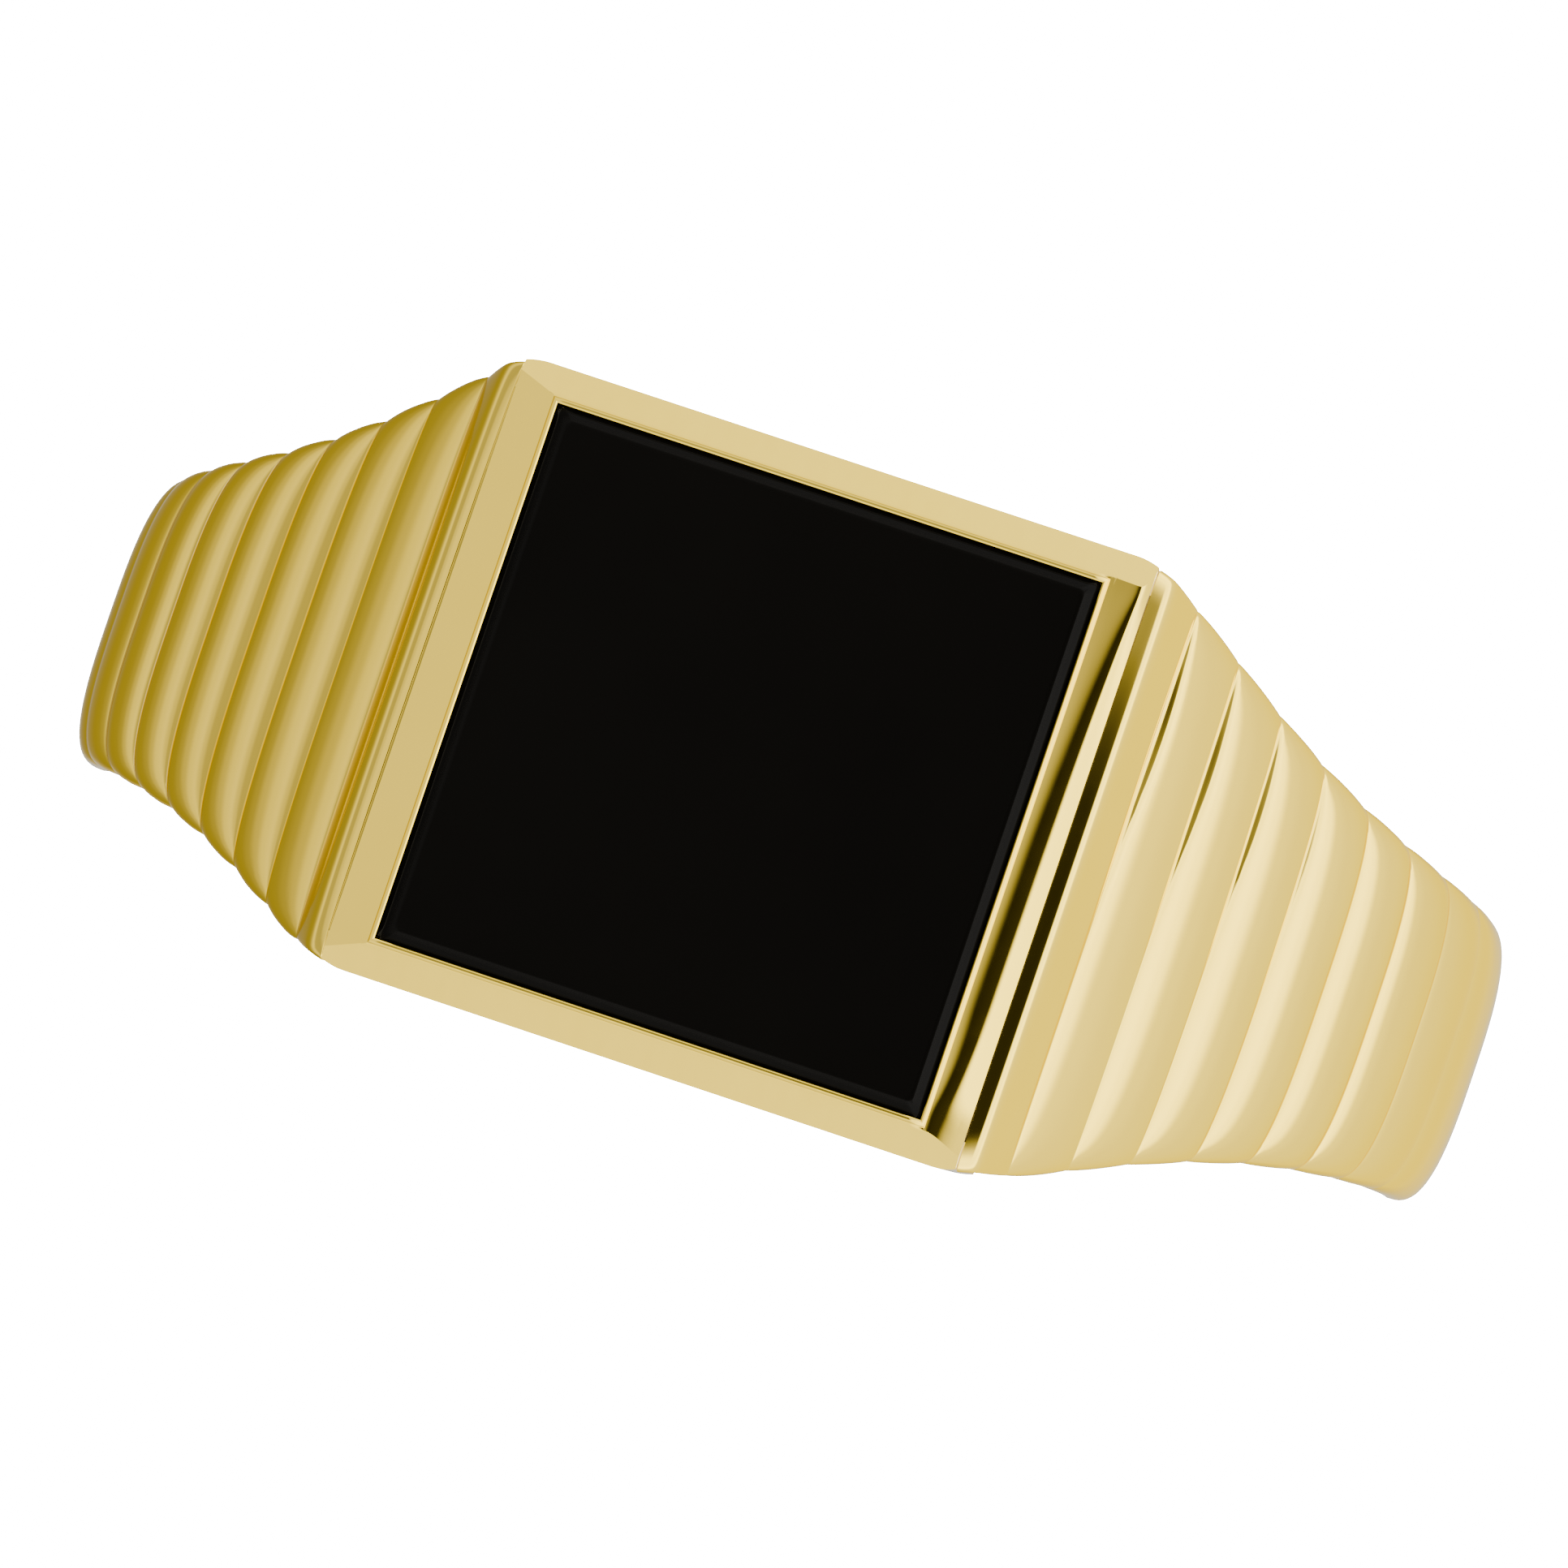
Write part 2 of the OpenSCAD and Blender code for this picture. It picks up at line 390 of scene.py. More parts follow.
# %% Running length of each row, from the crease to the bottom
RIBBED_SHARE = 0.945
CROWDING = 0.125
pitch = shoulder_length * RIBBED_SHARE / (size_of["Grooves"] + 1)
ribbed_length = pitch * (size_of["Grooves"] + 1)
drop_z = side_z - bottom_z
lower_length = ((side_x * side_x + drop_z * drop_z) * 0.5) ** 0.5 * (math.pi / 2)
rib_row = (row / ROWS_PER_RIB).do("MINIMUM", float(RIB_REGIONS))
rib_number = rib_row.do("FLOOR")
even_part = rib_row - rib_number
part = even_part - (even_part * (2 * math.pi)).do("SINE") * CROWDING
plain_part = (row - ROWS_PER_RIB * RIB_REGIONS).do("MAXIMUM", 0.0) / PLAIN_ROWS
run = (rib_number + part) * pitch + plain_part * (shoulder_length + lower_length - ribbed_length)
print("rows placed")

# %% Where the groove line is at that length
sample = hoop_tree.nodes.new("GeometryNodeSampleCurve")
sample.mode = "LENGTH"
hoop_tree.links.new(shoulder.outputs[0], sample.inputs["Curves"])
hoop_tree.links.new(run.do("MINIMUM", shoulder_length).socket, sample.inputs["Length"])
on_shoulder = hoop_tree.nodes.new("ShaderNodeSeparateXYZ")
hoop_tree.links.new(sample.outputs["Position"], on_shoulder.inputs[0])
low_part = ((run - shoulder_length) / lower_length).do("MAXIMUM", 0.0).do("MINIMUM", 1.0)
below = run.do("GREATER_THAN", shoulder_length)
shoulder_x = Sum(hoop_tree, on_shoulder.outputs["X"])
shoulder_z = Sum(hoop_tree, on_shoulder.outputs["Z"])
line_x = pick(below, side_x * (low_part * (math.pi / 2)).do("COSINE"), shoulder_x)
line_z = pick(below, side_z - drop_z * (low_part * (math.pi / 2)).do("SINE"), shoulder_z)
print("groove line placed")

# %% [markdown]
# Each cross-section is a plane that leans from the upright face of the solder joint
# to a plain radius at the side of the finger. It aims at a circle a little inside the
# hole, so that the sections never run along the hole's wall. The section goes from
# the groove line down to the finger hole.

# %% The direction down through the band, and its thickness
AIM_INSIDE = 0.9
inner_radius = radius - AIM_INSIDE
start_turn = start_z.do("ARCTAN2", start_x) - (start_x / inner_radius).do("ARCCOSINE")
left_share = (1 - run / shoulder_length).do("MAXIMUM", 0.0)
turn = line_z.do("ARCTAN2", line_x) - start_turn * left_share * left_share
reach_x = inner_radius * turn.do("COSINE") - line_x
reach_z = inner_radius * turn.do("SINE") - line_z
reach = (reach_x * reach_x + reach_z * reach_z) ** 0.5
down_x, down_z = reach_x / reach, reach_z / reach
slant = line_x * down_x + line_z * down_z
beyond_hole = line_x * line_x + line_z * line_z - radius * radius
depth_to_hole = slant * -1 - (slant * slant - beyond_hole) ** 0.5
print("section planes placed")

# %% [markdown]
# The outside of the section is a squared-off half circle: nearly flat across, with
# rounded edges. The inside is squared off harder, so the hole is flat across and its
# rim only just eased, as a ring's is for comfort.

# %% Width of the band
TAPER_RUN, TAPER_POWER = 6.3, 1.55
side_half = size_of["Side Width"] * 0.5
bottom_half = size_of["Bottom Width"] * 0.5
taper = ((run / TAPER_RUN) ** TAPER_POWER * -1).do("EXPONENT")
narrowing = (side_half - bottom_half) * (low_part * (math.pi / 2)).do("SINE")
half_width = side_half + (size_of["Head End Half Width"] - side_half) * taper - narrowing
print("band tapered")

# %% Crown and edges of the section
EDGE, INSIDE = 2 / 3, 2 / 14
INNER_LEAN = 0.45
EDGE_DEEP, LESS_AT_HEAD, DEEPENS_OVER = 0.70, 0.25, 3.0
edge_depth = EDGE_DEEP - (run / -DEEPENS_OVER).do("EXPONENT") * LESS_AT_HEAD
clock = around - math.pi / 2
across, outward = clock.do("SINE"), clock.do("COSINE")
is_outside = outward.do("GREATER_THAN", -0.0001)
thick_below = depth_to_hole - edge_depth
depth_outside = edge_depth * (1 - outward.do("ABSOLUTE") ** EDGE)
depth_inside = edge_depth + thick_below * outward.do("ABSOLUTE") ** INSIDE
lean = INNER_LEAN * (depth_inside - edge_depth) / thick_below
outside_y = half_width * bent(across, EDGE)
inside_y = (half_width - lean) * bent(across, INSIDE)
section_y = pick(is_outside, outside_y, inside_y)
section_depth = pick(is_outside, depth_outside, depth_inside)
print("section shaped")

# %% [markdown]
# A rib is a low hump between two grooves. Its top is broad and its flanks steepen
# toward the grooves. The last three fade away. The first length beside the head isn't
# a hump but a step: nearly level at the crease, then steep down to the first groove.
# The two shoulders were filed by hand, so the step is crisper on the right and
# rounder on the left, where a fine line is also cut beside the head.

# %% Height of the ribs and of the first step
FADE_RIBS = 3
HUMP_POWER = 2.2
STEP_DROP = 0.9
LINE_WIDTH, LINE_DEPTH = 0.055, 0.035
fade = ((size_of["Grooves"] + 1 - run / pitch) / FADE_RIBS).do("MINIMUM", 1.0).do("MAXIMUM", 0.0)
hump = 1 - (part * 2 - 1).do("ABSOLUTE") ** HUMP_POWER
is_first = rib_number.do("LESS_THAN", 0.5)
is_right = side.do("GREATER_THAN", 0.0)
step_turn = pick(is_right, 0.44, 0.46)
step_round = pick(is_right, 0.06, 0.16)


def step_line(share):
    """Two slopes joined by a round: nearly level, then steep."""
    past = share - step_turn
    return past + (past * past + step_round * step_round) ** 0.5


step_fall = (step_line(part) - step_line(0)) / (step_line(1) - step_line(0))
roll = pitch * STEP_DROP * (part - step_fall)
crease_line = ((run / LINE_WIDTH) ** 2 * -1).do("EXPONENT") * (1 - is_right) * LINE_DEPTH
print("rib heights set")

# %% [markdown]
# A fine V is cut where two ribs meet. On the right shoulder the first few cuts also
# bite deeper over a short length toward one edge of the band, where the graver went
# in, and each bites a little less than the one before.

# %% The cut of each groove
BITE_AT, BITE_LENGTH = 0.57, 0.36
BITE_FIRST, BITE_LOSS = 1.25, 0.25
BITE_WIDTH, BITE_DEPTH = 0.15, 0.125
CUT_WIDTH = 0.03
PLAIN_END = 0.3
groove_number = (run / pitch).do("ROUND")
off_centre = (section_y / half_width - BITE_AT) / BITE_LENGTH
bite = (
    (off_centre * off_centre * -1).do("EXPONENT")
    * (BITE_FIRST - groove_number * BITE_LOSS).do("MAXIMUM", 0.0)
    * groove_number.do("GREATER_THAN", 0.5)
    * side.do("MAXIMUM", 0.0)
)
past_groove = (part - part.do("ROUND")) * pitch
bite_reach = bite * past_groove.do("GREATER_THAN", 0.0) * BITE_WIDTH + CUT_WIDTH
from_groove = past_groove / bite_reach
cut_depth = size_of["Groove Depth"] + bite * BITE_DEPTH
cut = (from_groove * from_groove * -1).do("EXPONENT") * cut_depth
is_ribbed = run.do("GREATER_THAN", PLAIN_END) * run.do("LESS_THAN", ribbed_length - PLAIN_END)
first_rise = roll - crease_line
rise = pick(is_first, first_rise, fade * size_of["Rib Height"] * hump) - fade * cut * is_ribbed
print("grooves cut")

# %% [markdown]
# The ribs stand out along the section's own outward direction, so they wrap over the
# band's edges and scallop its outline, more on the left than on the right. Inside the
# edge they die away before they reach the finger hole.

# %% Raise the ribs from the section
SCALLOP_RIGHT, SCALLOP_LEFT = 0.25, 0.6
EDGE_REACH = 0.8
lift_y = bent(across, 2 - EDGE) / half_width
lift_out = outward.do("ABSOLUTE") ** (2 - EDGE) / edge_depth
lift = (lift_y * lift_y + lift_out * lift_out) ** 0.5
past_edge = (section_depth - edge_depth).do("MAXIMUM", 0.0)
over_edge = (1 - past_edge / EDGE_REACH).do("MAXIMUM", 0.0)
lift_y = pick(is_outside, lift_y / lift, across.do("SIGN") * over_edge * over_edge)
lift_y = lift_y * (1 - is_first) * pick(is_right, SCALLOP_RIGHT, SCALLOP_LEFT)
lift_outside = pick(is_first, 1.0, lift_out / lift)
lift_out = pick(is_outside, lift_outside, is_first * over_edge * over_edge)
final_y = (section_y + rise * lift_y) * (1 - is_end)
final_depth = pick(is_end, depth_to_hole * 0.5, section_depth - rise * lift_out)
print("ribs raised")

# %% Move every point of the grid to its place
placed = hoop_tree.nodes.new("ShaderNodeCombineXYZ")
for slot_name, value in (
    ("X", side * (line_x + down_x * final_depth) * MM),
    ("Y", final_y * MM),
    ("Z", (line_z + down_z * final_depth) * MM),
):
    hoop_tree.links.new(value.socket, placed.inputs[slot_name])
moved = hoop_tree.nodes.new("GeometryNodeSetPosition")
hoop_tree.links.new(grid.outputs["Mesh"], moved.inputs["Geometry"])
hoop_tree.links.new(placed.outputs[0], moved.inputs["Position"])
print(len(hoop_tree.nodes), "nodes so far")

# %% [markdown]
# The grid's long edges now lie on each other and are merged, which closes the band.
# A grid starts out flat shaded, so every face is first set smooth. Edges that fold
# strongly are the deeper grooves and the two end faces, and they are set sharp again.

# %% Close the seam, keep the grooves sharp and give it its finish
SAME_PLACE = 2e-7
FOLD = math.radians(38)
merged = hoop_tree.nodes.new("GeometryNodeMergeByDistance")
merged.inputs["Distance"].default_value = SAME_PLACE
angle = hoop_tree.nodes.new("GeometryNodeInputMeshEdgeAngle")
folded = hoop_tree.nodes.new("FunctionNodeCompare")
folded.data_type = "FLOAT"
folded.operation = "GREATER_THAN"
folded.inputs["B"].default_value = FOLD
smooth = hoop_tree.nodes.new("GeometryNodeSetShadeSmooth")
smooth.domain = "FACE"
smooth.inputs["Shade Smooth"].default_value = True
sharp = hoop_tree.nodes.new("GeometryNodeSetShadeSmooth")
sharp.domain = "EDGE"
sharp.inputs["Shade Smooth"].default_value = False
realize = hoop_tree.nodes.new("GeometryNodeRealizeInstances")
coat = hoop_tree.nodes.new("GeometryNodeSetMaterial")
link = hoop_tree.links.new
link(moved.outputs[0], merged.inputs[0])
link(merged.outputs[0], smooth.inputs["Geometry"])
link(smooth.outputs[0], sharp.inputs["Geometry"])
link(angle.outputs["Unsigned Angle"], folded.inputs["A"])
link(folded.outputs[0], sharp.inputs["Selection"])
link(sharp.outputs[0], realize.inputs[0])
link(realize.outputs[0], coat.inputs["Geometry"])
link(hoop_in.outputs["Finish"], coat.inputs["Material"])
link(coat.outputs[0], hoop_out.inputs["Geometry"])
print("tree finished with", len(hoop_tree.nodes), "nodes")

# %% Run the tree and keep its result as a plain mesh


def baked(tree, name, settings):
    """Run a tree on an empty mesh and return its result as a plain object."""
    holder = bpy.data.objects.new(name + "_holder", bpy.data.meshes.new(name + "_holder"))
    bpy.context.scene.collection.objects.link(holder)
    modifier = holder.modifiers.new("shape", "NODES")
    modifier.node_group = tree
    for item in tree.interface.items_tree:
        if item.item_type == "SOCKET" and item.name in settings:
            modifier[item.identifier] = settings[item.name]
    graph = bpy.context.evaluated_depsgraph_get()
    graph.update()
    mesh = bpy.data.meshes.new_from_object(holder.evaluated_get(graph), depsgraph=graph)
    bpy.data.objects.remove(holder)
    mesh.name = name
    return bpy.data.objects.new(name, mesh)


hoop = baked(hoop_tree, "hoop", {**dict(hoop_sizes), "Finish": polished_gold})
bpy.context.scene.collection.objects.link(hoop)
print("hoop has", len(hoop.data.polygons), "faces and", len(hoop.data.vertices), "points")

# %% Turn its faces outward and check that it is closed


def tidy_shell(piece):
    """Point the faces outward and report whether the shell is closed."""
    work = bmesh.new()
    work.from_mesh(piece.data)
    bmesh.ops.recalc_face_normals(work, faces=work.faces)
    open_edges = sum(1 for edge in work.edges if not edge.is_manifold)
    volume = work.calc_volume(signed=True)
    if volume < 0:
        bmesh.ops.reverse_faces(work, faces=work.faces)
    work.to_mesh(piece.data)
    work.free()
    print(f"{piece.name}: {abs(volume) / MM**3:.1f} cubic mm, {open_edges} open edges")


tidy_shell(hoop)
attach(hoop, "root")
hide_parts("shank")

# %% [markdown]
# ## The head frame
#
# The frame is filed from one block: a thin bright lip burnished over the stone, a
# gently sloping margin at each end, a steeper bevel along each long side, and walls
# that lean in toward the finger. Cutting these from a block with booleans would leave
# ragged mitres. Here it is a stack of closed outlines, each with the same number of
# points, joined into bands. That gives exact mitres at the corners, and the lower
# outlines can follow the finger hole.

# %% One outline of the head
SIDE_POINTS = 40
MITRE_POINTS = 6
CORNER_POINTS = 10


def quarter(half_x, half_y, round_by, cut, mitre):
    """A quarter of an outline, from the middle of one end to the middle of a long side."""
    centre_x, centre_y = half_x - round_by + cut, half_y - round_by
    first = math.acos(1 - cut / round_by) if round_by else 0.0
    end_top = centre_y + round_by * math.sin(first)
    mitre = min(mitre, end_top)
    points = [(half_x, mitre * i / SIDE_POINTS) for i in range(SIDE_POINTS)]
    past_mitre = end_top - mitre
    points += [(half_x, mitre + past_mitre * i / MITRE_POINTS) for i in range(MITRE_POINTS)]
    for i in range(CORNER_POINTS + 1):
        angle = first + (math.pi / 2 - first) * i / CORNER_POINTS
        round_x, round_y = round_by * math.cos(angle), round_by * math.sin(angle)
        points.append((centre_x + round_x, centre_y + round_y))
    points += [(centre_x * (1 - i / SIDE_POINTS), half_y) for i in range(1, SIDE_POINTS + 1)]
    return points


def outline(half_x, half_y, round_by=0.0, cut=0.0, mitre_at=None):
    """A whole outline. The ends cut off part of each round, and mitre_at places the mitres."""
    ring = []
    for side_x, side_y in ((1, 1), (-1, 1), (-1, -1), (1, -1)):
        mitre = mitre_at(side_x * half_x, side_y) if mitre_at else half_y
        part = quarter(half_x, half_y, round_by, cut, mitre)
        if side_x * side_y < 0:
            part.reverse()
        ring += [(side_x * x, side_y * y) for x, y in part[:-1]]
    return ring


print("an outline has", len(outline(5, 5, 1)), "points")

# %% Join outlines into a closed shell
POINTS_MEET = 1e-7


def stacked(name, outlines, finish, close=True):
    """Bands of faces between outlines. The last joins the first, or both are capped."""
    work = bmesh.new()
    rings = [[work.verts.new([c * MM for c in p]) for p in ring] for ring in outlines]
    count = len(rings[0])
    following = rings[1:] + rings[:1] if close else rings[1:]
    for first, second in zip(rings, following):
        for i in range(count):
            j = (i + 1) % count
            work.faces.new((first[i], first[j], second[j], second[i]))
    if not close:
        work.faces.new(reversed(rings[0]))
        work.faces.new(rings[-1])
    bmesh.ops.remove_doubles(work, verts=work.verts, dist=POINTS_MEET)
    bmesh.ops.recalc_face_normals(work, faces=work.faces)
    for face in work.faces:
        face.smooth = True
    mesh = bpy.data.meshes.new(name)
    work.to_mesh(mesh)
    work.free()
    mesh.materials.append(finish)
    piece = bpy.data.objects.new(name, mesh)
    bpy.context.scene.collection.objects.link(piece)
    return piece


print("stacking helper ready")

# %% [markdown]
# The outer edge of the rim isn't a plain rectangle. The two ends are cut off upright
# at the solder joints, the corners are rounded only as far as that cut, and the
# height of the edge differs: the crease at the ends is higher than the foot of the
# side bevels. One rule gives the rim's height at any point: the lower of the end
# slope and the side slope. The corner mitre is simply where the two slopes meet.
#
# The left margin is filed straight. The right one is rolled over by hand: it starts
# almost level beside the stone, dips, and then bends down to the crease. The bend is
# further out and crisper toward one corner, and close to the stone at the other.

# %% How the end margins fall
END_REACH = joint_in - pocket_x
SIDE_REACH = head_half - pocket_y
FIRST_STEP_DOWN = 0.05
end_slope = (crease_fall - lip_drop) / END_REACH
side_slope = (bevel_fall - lip_drop) / SIDE_REACH


def bend_share(at, turn, soft):
    """A line that stays level up to a turn and then rises, with a soft bend between."""
    return at + math.hypot(at - turn, soft) - math.hypot(turn, soft)


def rolled_fall(part, place):
    """How far the right margin has fallen, part way from the stone to the crease.

    place is -1 at one corner of the stone, 0 at the middle and 1 at the other corner.
    """
    low_end = max(0.0, (-place - 0.55) / 0.45)
    high_end = max(0.0, place)
    turn = max(0.22, 0.68 + 0.15 * place - 0.42 * low_end**2.5)
    soft = max(0.03, 0.38 - 0.36 * high_end**1.2 - 0.2 * low_end)
    dish = 0.09 - 0.07 * high_end
    steep = (dish + crease_fall - lip_drop - FIRST_STEP_DOWN) / bend_share(1.0, turn, soft)
    return FIRST_STEP_DOWN - dish * part + steep * bend_share(part, turn, soft)


def end_fall(x, y):
    """How far an end margin has fallen at a point."""
    toward_end = max(0.0, abs(x) - pocket_x)
    if x > pocket_x:
        return rolled_fall(toward_end / END_REACH, y / pocket_y)
    return toward_end * end_slope


print(f"end slope {end_slope:.2f}, side slope {side_slope:.2f}")

# %% How the side bevels fall, and the height of the rim
EDGE_TURN, EDGE_SOFT = 0.05, 0.03
HALVINGS = 18


def side_fall(y):
    """How far a long side's bevel has fallen; its first few hundredths are rounded."""
    past = max(0.0, abs(y) - pocket_y)
    share = bend_share(past, EDGE_TURN, EDGE_SOFT) / bend_share(SIDE_REACH, EDGE_TURN, EDGE_SOFT)
    return SIDE_REACH * share * side_slope


def rim_height(x, y):
    return face_z - lip_drop - max(end_fall(x, y), side_fall(y))


def mitre_at(x, side_y):
    """Where the end margin and the bevel meet, found by halving the range."""
    low, high = pocket_y, head_half
    for _ in range(HALVINGS):
        middle = (low + high) / 2
        if side_fall(middle) < end_fall(x, side_y * middle):
            low = middle
        else:
            high = middle
    return low


def head_edge(share):
    """Outline of the rim: 0 at the pocket, 1 at the outer edge."""
    return outline(
        pocket_x + END_REACH * share,
        pocket_y + SIDE_REACH * share,
        corner_radius * share,
        (corner_radius - corner_start) * share,
        mitre_at,
    )


print(f"rim is {rim_height(0, head_half):.2f} high at a long side's edge")

# %% Outlines of the lip and the margins
LIP_PROFILE = (
    (0.0, -0.30),
    (-0.035, 0.0),
    (-0.03, 0.03),
    (-0.005, 0.048),
    (0.025, 0.046),
    (0.05, 0.026),
    (0.065, 0.0),
)
MARGIN_STEPS = 40
FIRST_MARGIN_STEP = 5
lip_rings = []
for out, up in LIP_PROFILE:
    lip_edge = outline(pocket_x + out, pocket_y + out)
    lip_rings.append([(x, y, rim_height(x, y) + up) for x, y in lip_edge])
margin_rings = []
for step in range(FIRST_MARGIN_STEP, MARGIN_STEPS + 1):
    margin_edge = head_edge(step / MARGIN_STEPS)
    margin_rings.append([(x, y, rim_height(x, y)) for x, y in margin_edge])
print(len(lip_rings), "outlines in the lip,", len(margin_rings), "in the margins")

# %% Outlines of the walls and the pocket, and the whole stack
WALL_STEPS = 8
wall_rings = []
wall_depth = 2 * (face_z - hole_radius) - bevel_fall
for step in range(1, WALL_STEPS + 1):
    share = step / WALL_STEPS
    ring = []
    for x, y in head_edge(1.0):
        top = rim_height(x, y)
        foot = math.sqrt(hole_radius**2 - x**2)
        z = top + (foot - top) * share
        lean_here = wall_lean * max(0.0, face_z - bevel_fall - z) / wall_depth
        ring.append((x, y * (1 - lean_here / head_half), z))
    wall_rings.append(ring)
bearer_low = box_mm("bearer_plate")[0]
opening = outline(pocket_x - ledge, pocket_y - ledge)
inner_rings = [
    [(x, y, math.sqrt(hole_radius**2 - x**2)) for x, y in opening],
    [(x, y, bearer_low.z) for x, y in opening],
    [(x, y, bearer_low.z) for x, y in outline(pocket_x, pocket_y)],
]
head = stacked("head_rim", lip_rings + margin_rings + wall_rings + inner_rings, polished_gold)
tidy_shell(head)

# %% [markdown]
# Shading smooth over a filed edge would look like soap, so edges that turn sharply
# are marked sharp. A Bevel modifier could round them. It isn't needed here, because
# the edges that catch a line of light, the lip and the tops of the bevels, already
# have their small rounds in the outlines.

# %% Keep the filed edges sharp


def keep_edges(piece, degrees):
    """Mark folds sharper than an angle."""
    piece.data.set_sharp_from_angle(angle=math.radians(degrees))
    print(piece.name, "keeps folds over", degrees, "degrees sharp")


keep_edges(head, 30)
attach(head, "root")
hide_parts("head_frame")

# %% [markdown]
# ## The stone
#
# Onyx polishes to a deep, even black with a glassy surface. Its face is flat and a
# narrow bevel runs round it. The bevel and the long edges catch the light as thin
# lines. Roughness is almost nil, with a faint unevenness so that reflections don't
# look computed. The specular level is low, because a bright tent all round would
# otherwise turn the black to grey.
#
# A cube with a Bevel modifier would be close. The outlines used for the head do it
# as easily, and they also round the four upright corners and ease the lower edge.

# %% Black stone finish
BLACK_LOW, BLACK_HIGH = (0.0060, 0.0054, 0.0046), (0.0080, 0.0072, 0.0060)
onyx, tree, shader, place = new_finish("polished_onyx")
shader.inputs["IOR"].default_value = 1.54
shader.inputs["Specular IOR Level"].default_value = 0.07
cloud = noise(tree, place, 0.35, detail=4.0)
tree.links.new(two_tone(tree, cloud, BLACK_LOW, BLACK_HIGH), shader.inputs["Base Color"])
tree.links.new(spread(tree, noise(tree, place, 1.2), 0.02, 0.05), shader.inputs["Roughness"])
dimple(tree, shader, noise(tree, place, 0.4), 0.002)
print("stone finish:", onyx.name)

# %% Cut the stone
STONE_BEVEL = 0.22
STONE_BEVEL_FALL = 0.6 * STONE_BEVEL
CORNER_SOFT = 0.12
STONE_THICK = face_z - stone_low.z
STONE_PROFILE = (
    (0.02, STONE_THICK),
    (0.0, STONE_THICK - 0.02),
    (0.0, STONE_BEVEL_FALL + 0.012),
    (0.008, STONE_BEVEL_FALL - 0.004),
    (STONE_BEVEL - 0.02, 0.010),
    (STONE_BEVEL - 0.005, 0.003),
    (STONE_BEVEL + 0.02, 0.0),
    (STONE_BEVEL + 0.06, 0.0),
)
stone_rings = []
for inset, drop in STONE_PROFILE:
    stone_edge = outline(stone_high.x - inset, stone_high.y - inset, CORNER_SOFT)
    stone_rings.append([(x, y, face_z - drop) for x, y in stone_edge])
stone = stacked("stone", stone_rings, onyx, close=False)
tidy_shell(stone)
keep_edges(stone, 40)
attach(stone, "root")
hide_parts("stone_tablet")

# %% [markdown]
# ## Bearer, cement and solder
#
# The bearer is a thin gold plate that the stone sits on. A film of cement holds the
# stone down, and a film of solder joins each side of the head to the hoop. They could
# be remade like the head, but they are plain and their exact shapes are right, so
# they stay as they are and only get finishes. The bearer shows from under the head,
# where a polisher can't reach, so it keeps a satin surface.

# %% Finish the carried-over pieces
CEMENT_DARK, CEMENT_PALE = (0.42, 0.36, 0.25), (0.55, 0.48, 0.34)
cement, tree, shader, place = new_finish("set_cement")
grain = noise(tree, place, 3.0)
tree.links.new(two_tone(tree, grain, CEMENT_DARK, CEMENT_PALE), shader.inputs["Base Color"])
tree.links.new(spread(tree, grain, 0.35, 0.6), shader.inputs["Roughness"])
dimple(tree, shader, grain, 0.01)
for node, finish in (
    ("bearer_plate", satin_gold),
    ("cement_bed", cement),
    ("left_solder", solder_gold),
    ("right_solder", solder_gold),
):
    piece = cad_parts[node]
    piece.data.materials.clear()
    piece.data.materials.append(finish)
    print(node, "->", finish.name)

# %% [markdown]
# ## Floor
#
# The ring stands on a pale floor that glows like a light table, which keeps every
# shadow off it. Lamps below a sheet of paper would do the same. Polished gold would
# mirror that glow from below as a hard bright patch, so glossy rays don't see the
# floor, and the gold mirrors the tent all round instead.

# %% Pale floor
floor_mesh = bpy.data.meshes.new("floor")
FLOOR_Z = shank_low.z * MM
REACH = 3.0
TABLE_GLOW = 12.0
corners = [(x * REACH, y * REACH, FLOOR_Z) for x, y in ((-1, -1), (1, -1), (1, 1), (-1, 1))]
floor_mesh.from_pydata(corners, [], [(0, 1, 2, 3)])
floor = bpy.data.objects.new("floor", floor_mesh)
bpy.context.scene.collection.objects.link(floor)
paper, tree, shader, place = new_finish("pale_paper")
tree.links.new(
    two_tone(tree, noise(tree, place, 0.02), (0.90, 0.90, 0.90), (0.93, 0.93, 0.93)),
    shader.inputs["Base Color"],
)
shader.inputs["Roughness"].default_value = 0.9
shader.inputs["Emission Color"].default_value = (1, 1, 1, 1)
shader.inputs["Emission Strength"].default_value = TABLE_GLOW
floor_mesh.materials.append(paper)
floor.visible_glossy = False
print(f"floor at {FLOOR_Z / MM:.2f} mm")

# %% [markdown]
# ## Light tent
#
# Polished gold shows nothing but its surroundings, so the surroundings are designed.
# Area lamps would show up in the gold as rectangles. A jeweller's light tent has no
# such edges, so the light here is a tent: a world whose brightness depends only on
# the direction. Its left side is dimmer and changes with height, which gives the ribs
# on the left their deeper gold, and its right side is bright.

# %% Directions in the world
world = bpy.data.worlds.new("tent")
world.use_nodes = True
tree = world.node_tree
backdrop = tree.nodes["Background"]
backdrop.inputs["Color"].default_value = (1, 1, 1, 1)
toward = tree.nodes.new("ShaderNodeTexCoord").outputs["Generated"]
parts = tree.nodes.new("ShaderNodeSeparateXYZ")
tree.links.new(toward, parts.inputs[0])
toward_x, toward_y, toward_z = (Sum(tree, parts.outputs[axis]) for axis in "XYZ")
print("world ready:", world.name)

# %% The two sides of the tent


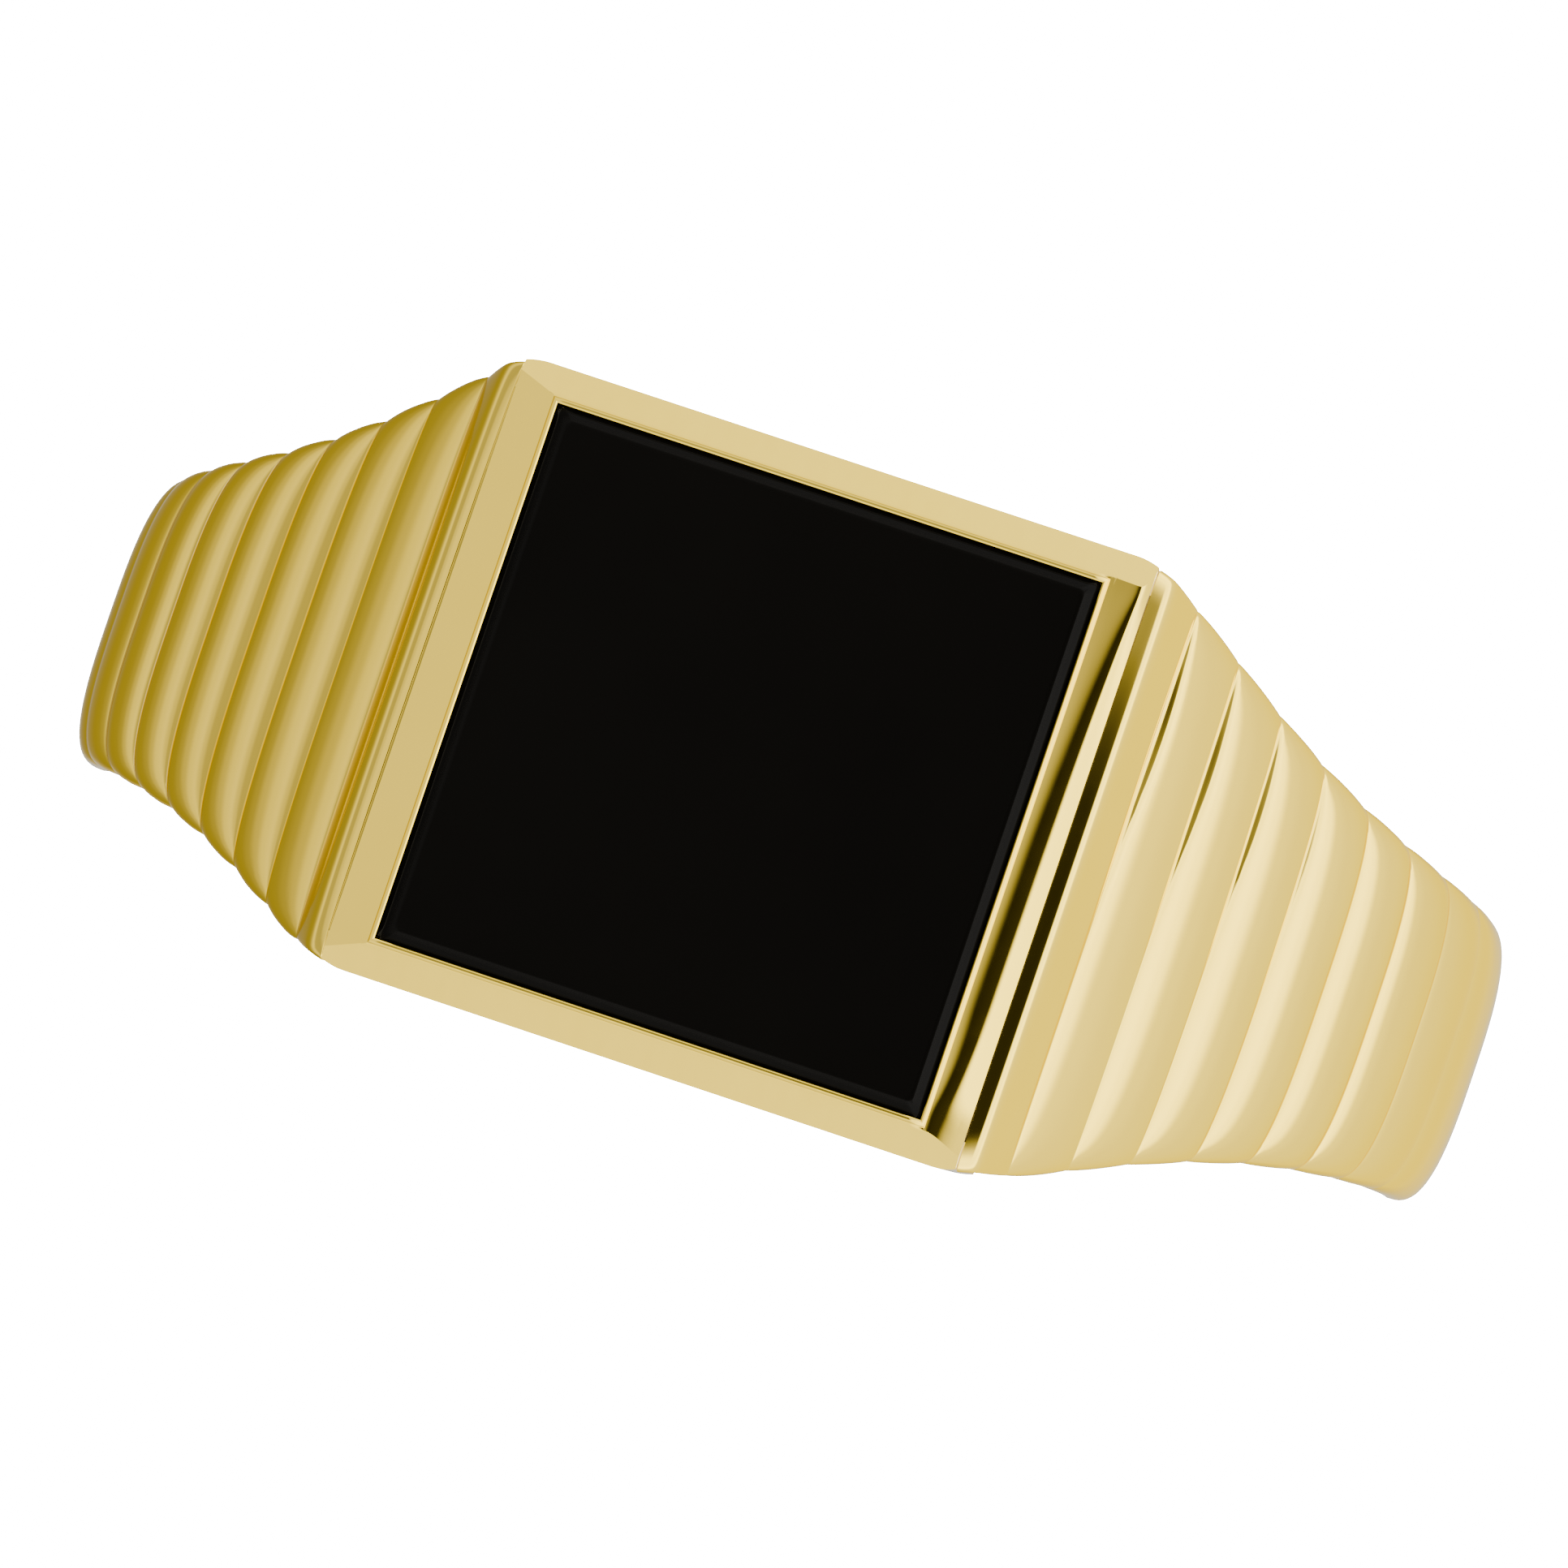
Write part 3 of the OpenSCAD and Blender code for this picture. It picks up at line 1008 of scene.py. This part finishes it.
def tent_wall(name, stops):
    """Brightness of one side of the tent by height: -1 is straight down, 1 straight up."""
    ramp = tree.nodes.new("ShaderNodeValToRGB")
    ramp.label = name
    ramp.color_ramp.interpolation = "EASE"
    bar = ramp.color_ramp.elements
    while len(bar) > 1:
        bar.remove(bar[0])
    for i, (height, value) in enumerate(stops):
        stop = bar[0] if i == 0 else bar.new((height + 1) / 2)
        stop.position = (height + 1) / 2
        stop.color = (value, value, value, 1)
    tree.links.new((toward_z * 0.5 + 0.5).socket, ramp.inputs[0])
    return Sum(tree, ramp.outputs[0])


LEFT_STOPS = (
    (-1.0, 0.38), (-0.85, 0.35), (-0.7, 0.37), (-0.58, 0.44), (-0.46, 0.63),
    (-0.32, 0.90), (-0.18, 0.97), (-0.06, 0.76), (0.04, 0.54), (0.4, 0.52),
    (0.6, 0.8), (0.78, 0.97), (1.0, 0.97),
)
RIGHT_STOPS = (
    (-1.0, 1.2), (-0.45, 1.25), (-0.22, 1.4), (-0.04, 2.6), (0.1, 2.9), (0.5, 2.5), (1.0, 2.7),
)
SEAM = 0.35
left_wall = tent_wall("left", LEFT_STOPS)
right_wall = tent_wall("right", RIGHT_STOPS)
sideways = ((toward_x + SEAM) / (2 * SEAM)).do("MINIMUM", 1.0).do("MAXIMUM", 0.0)
tent = left_wall * (1 - sideways) + right_wall * sideways
print("tent sides:", len(LEFT_STOPS), "and", len(RIGHT_STOPS), "stops")

# %% [markdown]
# A tent needs a hole to look through. It is dark, and the flat face of the stone
# mirrors it, which is what makes a polished black stone look black. The steeper parts
# of the rim and the step beside it mirror the hole too, as dark streaks that give
# bright gold its snap. The hole has soft edges and is a little less dark toward +Y.

# %% The dark hole overhead


def fade_between(value, start, end):
    """A smooth change from 0 at start to 1 at end."""
    node = tree.nodes.new("ShaderNodeMapRange")
    node.interpolation_type = "SMOOTHSTEP"
    node.inputs["From Min"].default_value = start
    node.inputs["From Max"].default_value = end
    tree.links.new(value.socket, node.inputs["Value"])
    return Sum(tree, node.outputs["Result"])


HOLE_LEFT, HOLE_RIGHT = (-0.36, 0.0), (0.40, 0.60)
HOLE_MIDDLE_Y, HOLE_SIDES = 0.09, (0.30, 0.75)
HOLE_HEIGHT = (0.5, 0.6)
HOLE_DARK, LESS_DARK, LESS_DARK_FROM = 0.98, 0.15, (0.085, 0.26)
off_middle = (toward_y - HOLE_MIDDLE_Y).do("ABSOLUTE")
hole = (
    fade_between(toward_x, *HOLE_LEFT)
    * (1 - fade_between(toward_x, *HOLE_RIGHT))
    * (1 - fade_between(off_middle, *HOLE_SIDES))
    * fade_between(toward_z, *HOLE_HEIGHT)
)
darkness = HOLE_DARK - fade_between(toward_y, *LESS_DARK_FROM) * LESS_DARK
tent = tent * (1 - hole * darkness)
tree.links.new(tent.socket, backdrop.inputs["Strength"])
bpy.context.scene.world = world
bpy.context.scene.view_settings.look = "AgX - Medium High Contrast"
print("tent hung with", len(tree.nodes), "nodes")

# %% [markdown]
# ## Camera
#
# The camera looks down on the face from nearly straight above, a few degrees off the
# ring's upright both ways, and is rolled so that the ring lies aslant in the frame.
# It stands well back with a long lens, as for a catalogue, so that there is hardly
# any perspective.

# %% Camera, nearly straight above and turned a little
TILT_X, TILT_Y, ROLL = 0.0952, 0.083, math.radians(18.8)
DISTANCE = 300 * MM
FRAME_WIDTH = 25.943 * MM
SENSOR_WIDTH = 36.0
MOVE_LEFT, MOVE_UP = 0.391 * MM, 0.911 * MM
back = Vector((math.sin(TILT_X), -math.sin(TILT_Y), 0))
back.z = math.sqrt(1 - back.length_squared)
right = Vector((0, 1, 0)).cross(back).normalized()
up = back.cross(right)
turned_right = right * math.cos(ROLL) + up * math.sin(ROLL)
turned_up = up * math.cos(ROLL) - right * math.sin(ROLL)
camera_data = bpy.data.cameras.new("camera")
camera_data.lens = SENSOR_WIDTH * DISTANCE / FRAME_WIDTH
camera_data.clip_start = 0.01
camera = bpy.data.objects.new("camera", camera_data)
camera.location = back * DISTANCE - right * MOVE_LEFT + up * MOVE_UP
camera.rotation_euler = Matrix((turned_right, turned_up, back)).transposed().to_euler()
bpy.context.scene.collection.objects.link(camera)
bpy.context.scene.camera = camera
print("camera at", [round(v / MM, 1) for v in camera.location])
